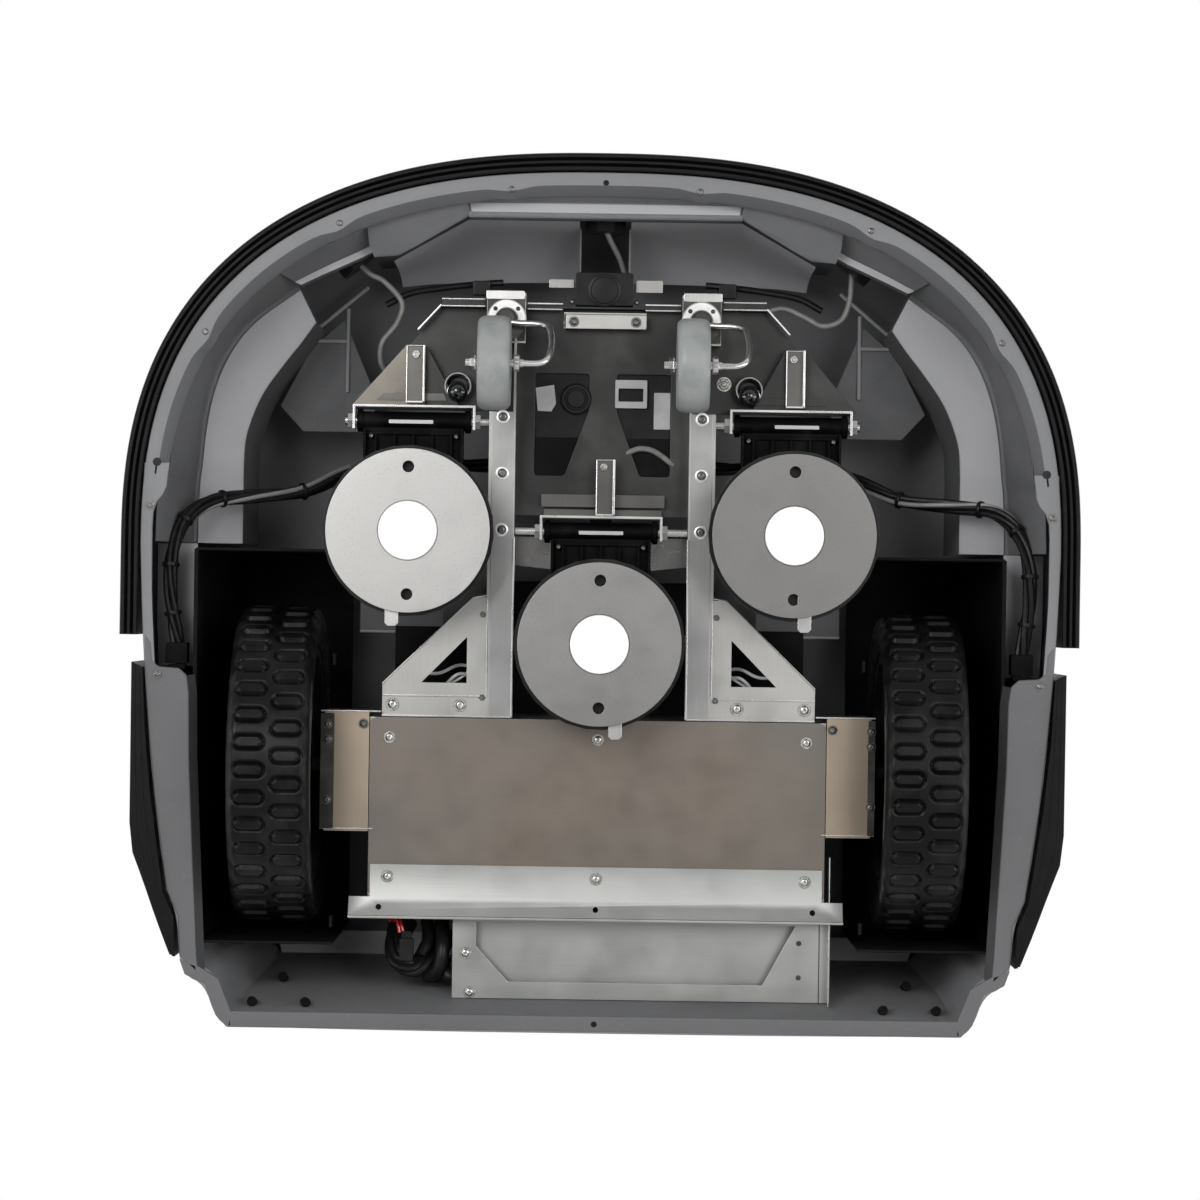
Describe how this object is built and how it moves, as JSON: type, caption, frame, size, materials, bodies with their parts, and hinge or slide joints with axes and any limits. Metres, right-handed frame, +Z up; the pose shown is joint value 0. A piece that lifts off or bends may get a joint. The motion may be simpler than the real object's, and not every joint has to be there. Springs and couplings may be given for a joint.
{
  "type": "robotic lawn mower",
  "caption": "Commercial robotic mower: grey hood on a steel chassis, floating cutting heads with glide discs and swinging blades, rear drive wheels and front casters.",
  "frame": {"origin": "on the ground under the centre of the machine's plan", "axes": "+Z up, -Y to the machine's front, +X to its left-hand side"},
  "size_m": [1.005, 0.924, 0.455],
  "materials": {
    "hood_plastic": "fine-grained grey moulding",
    "black_plastic": "satin black",
    "black_rubber": "matt black rubber",
    "tyre_rubber": "matt black tread rubber",
    "stainless_sheet": "brushed stainless steel",
    "aluminium_sheet": "dull folded aluminium",
    "black_metal": "black painted metal",
    "black_casting": "black anodised aluminium casting",
    "grey_rubber": "light grey rubber",
    "red_plastic": "glossy red"
  },
  "bodies": {
    "chassis": {"body_shell": "hood_plastic", "wheel_well_left": "black_plastic", "wheel_well_right": "black_plastic", "battery_pack": "black_plastic", "control_box": "black_plastic", "loop_sensor": "black_plastic", "console_panel": "black_plastic", "sonar_left": "black_plastic", "sonar_right": "black_plastic", "sonar_center": "black_plastic", "lift_actuator": "black_plastic", "front_bumper": "black_rubber", "side_bumper_left": "black_rubber", "side_bumper_right": "black_rubber", "harness_left": "black_rubber", "harness_right": "black_rubber", "rear_loom": "black_rubber", "chassis_box": "stainless_sheet", "box_bottom_plate": "stainless_sheet", "frame_beam_left": "stainless_sheet", "frame_beam_right": "stainless_sheet", "deck_plate": "stainless_sheet", "motor_mount_left": "stainless_sheet", "motor_mount_right": "stainless_sheet", "head_bracket_left": "stainless_sheet", "head_bracket_right": "stainless_sheet", "head_bracket_center": "stainless_sheet", "tail_flange": "aluminium_sheet", "rear_tray": "aluminium_sheet", "drive_motor_left": "black_metal", "drive_motor_right": "black_metal"},
    "cutter_arm_left": {"head_arm_left": "black_casting"},
    "blade_disc_left": {"blade_disc_left": "black_metal"},
    "glide_disc_left": {"glide_disc_left": "stainless_sheet"},
    "blade_left_1": {"blade_left_1": "stainless_sheet"},
    "blade_left_2": {"blade_left_2": "stainless_sheet"},
    "blade_left_3": {"blade_left_3": "stainless_sheet"},
    "cutter_arm_right": {"head_arm_right": "black_casting"},
    "blade_disc_right": {"blade_disc_right": "black_metal"},
    "glide_disc_right": {"glide_disc_right": "stainless_sheet"},
    "blade_right_1": {"blade_right_1": "stainless_sheet"},
    "blade_right_2": {"blade_right_2": "stainless_sheet"},
    "blade_right_3": {"blade_right_3": "stainless_sheet"},
    "cutter_arm_center": {"head_arm_center": "black_casting"},
    "blade_disc_center": {"blade_disc_center": "black_metal"},
    "glide_disc_center": {"glide_disc_center": "stainless_sheet"},
    "blade_center_1": {"blade_center_1": "stainless_sheet"},
    "blade_center_2": {"blade_center_2": "stainless_sheet"},
    "blade_center_3": {"blade_center_3": "stainless_sheet"},
    "drive_wheel_left": {"drive_wheel_left": "black_plastic", "drive_tyre_left": "tyre_rubber"},
    "caster_fork_left": {"caster_fork_left": "stainless_sheet"},
    "caster_wheel_left": {"caster_wheel_left": "grey_rubber"},
    "drive_wheel_right": {"drive_wheel_right": "black_plastic", "drive_tyre_right": "tyre_rubber"},
    "caster_fork_right": {"caster_fork_right": "stainless_sheet"},
    "caster_wheel_right": {"caster_wheel_right": "grey_rubber"},
    "lift_yoke": {"lift_yoke": "stainless_sheet"},
    "hatch_lid": {"hatch_lid": "hood_plastic"},
    "stop_button": {"stop_button": "red_plastic"}
  },
  "joints": [
    {"name": "drive_spin_left", "type": "hinge", "parent": "chassis", "child": "drive_wheel_left", "pos_m": [-0.3385, 0.188, 0.168], "axis": [1, 0, 0], "continuous": true},
    {"name": "drive_spin_right", "type": "hinge", "parent": "chassis", "child": "drive_wheel_right", "pos_m": [0.3385, 0.188, 0.168], "axis": [1, 0, 0], "continuous": true},
    {"name": "caster_swivel_left", "type": "hinge", "parent": "chassis", "child": "caster_fork_left", "pos_m": [-0.103, -0.287, 0.1285], "axis": [0, 0, 1], "continuous": true},
    {"name": "caster_spin_left", "type": "hinge", "parent": "caster_fork_left", "child": "caster_wheel_left", "pos_m": [-0.113, -0.235, 0.049], "axis": [1, 0, 0], "continuous": true},
    {"name": "caster_swivel_right", "type": "hinge", "parent": "chassis", "child": "caster_fork_right", "pos_m": [0.103, -0.287, 0.1285], "axis": [0, 0, 1], "continuous": true},
    {"name": "caster_spin_right", "type": "hinge", "parent": "caster_fork_right", "child": "caster_wheel_right", "pos_m": [0.093, -0.235, 0.049], "axis": [1, 0, 0], "continuous": true},
    {"name": "head_float_left", "type": "hinge", "parent": "chassis", "child": "cutter_arm_left", "pos_m": [-0.2, -0.178, 0.15], "axis": [1, 0, 0], "range_deg": [0, 12]},
    {"name": "blade_disc_spin_left", "type": "hinge", "parent": "cutter_arm_left", "child": "blade_disc_left", "pos_m": [-0.2, -0.06, 0.0525], "axis": [0, 0, 1], "continuous": true},
    {"name": "glide_disc_spin_left", "type": "hinge", "parent": "blade_disc_left", "child": "glide_disc_left", "pos_m": [-0.2, -0.06, 0.04], "axis": [0, 0, 1], "continuous": true},
    {"name": "blade_swing_left_1", "type": "hinge", "parent": "blade_disc_left", "child": "blade_left_1", "pos_m": [-0.2158, -0.00212, 0.0486], "axis": [0, 0, 1], "continuous": true},
    {"name": "blade_swing_left_2", "type": "hinge", "parent": "blade_disc_left", "child": "blade_left_2", "pos_m": [-0.24223, -0.10262, 0.0486], "axis": [0, 0, 1], "continuous": true},
    {"name": "blade_swing_left_3", "type": "hinge", "parent": "blade_disc_left", "child": "blade_left_3", "pos_m": [-0.14197, -0.07526, 0.0486], "axis": [0, 0, 1], "continuous": true},
    {"name": "head_float_right", "type": "hinge", "parent": "chassis", "child": "cutter_arm_right", "pos_m": [0.2, -0.178, 0.15], "axis": [1, 0, 0], "range_deg": [0, 12]},
    {"name": "blade_disc_spin_right", "type": "hinge", "parent": "cutter_arm_right", "child": "blade_disc_right", "pos_m": [0.2, -0.06, 0.0525], "axis": [0, 0, 1], "continuous": true},
    {"name": "glide_disc_spin_right", "type": "hinge", "parent": "blade_disc_right", "child": "glide_disc_right", "pos_m": [0.2, -0.06, 0.04], "axis": [0, 0, 1], "continuous": true},
    {"name": "blade_swing_right_1", "type": "hinge", "parent": "blade_disc_right", "child": "blade_right_1", "pos_m": [0.2119, -0.00119, 0.0486], "axis": [0, 0, 1], "continuous": true},
    {"name": "blade_swing_right_2", "type": "hinge", "parent": "blade_disc_right", "child": "blade_right_2", "pos_m": [0.14312, -0.0791, 0.0486], "axis": [0, 0, 1], "continuous": true},
    {"name": "blade_swing_right_3", "type": "hinge", "parent": "blade_disc_right", "child": "blade_right_3", "pos_m": [0.24498, -0.09971, 0.0486], "axis": [0, 0, 1], "continuous": true},
    {"name": "head_float_center", "type": "hinge", "parent": "chassis", "child": "cutter_arm_center", "pos_m": [0, -0.063, 0.15], "axis": [1, 0, 0], "range_deg": [0, 12]},
    {"name": "blade_disc_spin_center", "type": "hinge", "parent": "cutter_arm_center", "child": "blade_disc_center", "pos_m": [0, 0.055, 0.0525], "axis": [0, 0, 1], "continuous": true},
    {"name": "glide_disc_spin_center", "type": "hinge", "parent": "blade_disc_center", "child": "glide_disc_center", "pos_m": [0, 0.055, 0.04], "axis": [0, 0, 1], "continuous": true},
    {"name": "blade_swing_center_1", "type": "hinge", "parent": "blade_disc_center", "child": "blade_center_1", "pos_m": [0.0176, 0.11236, 0.0486], "axis": [0, 0, 1], "continuous": true},
    {"name": "blade_swing_center_2", "type": "hinge", "parent": "blade_disc_center", "child": "blade_center_2", "pos_m": [-0.05848, 0.04156, 0.0486], "axis": [0, 0, 1], "continuous": true},
    {"name": "blade_swing_center_3", "type": "hinge", "parent": "blade_disc_center", "child": "blade_center_3", "pos_m": [0.04088, 0.01108, 0.0486], "axis": [0, 0, 1], "continuous": true},
    {"name": "lift_slide", "type": "slide", "parent": "chassis", "child": "lift_yoke", "axis": [0, 0, 1], "range_m": [0, 0.045]},
    {"name": "hatch_hinge", "type": "hinge", "parent": "chassis", "child": "hatch_lid", "pos_m": [0, -0.014, 0.4358], "axis": [1, 0, 0], "range_deg": [0, 100]},
    {"name": "stop_button_press", "type": "slide", "parent": "chassis", "child": "stop_button", "axis": [0, 0, -1], "range_m": [0, 0.004], "stiffness_N_per_m": 800, "springref_m": -0.002}
  ]
}
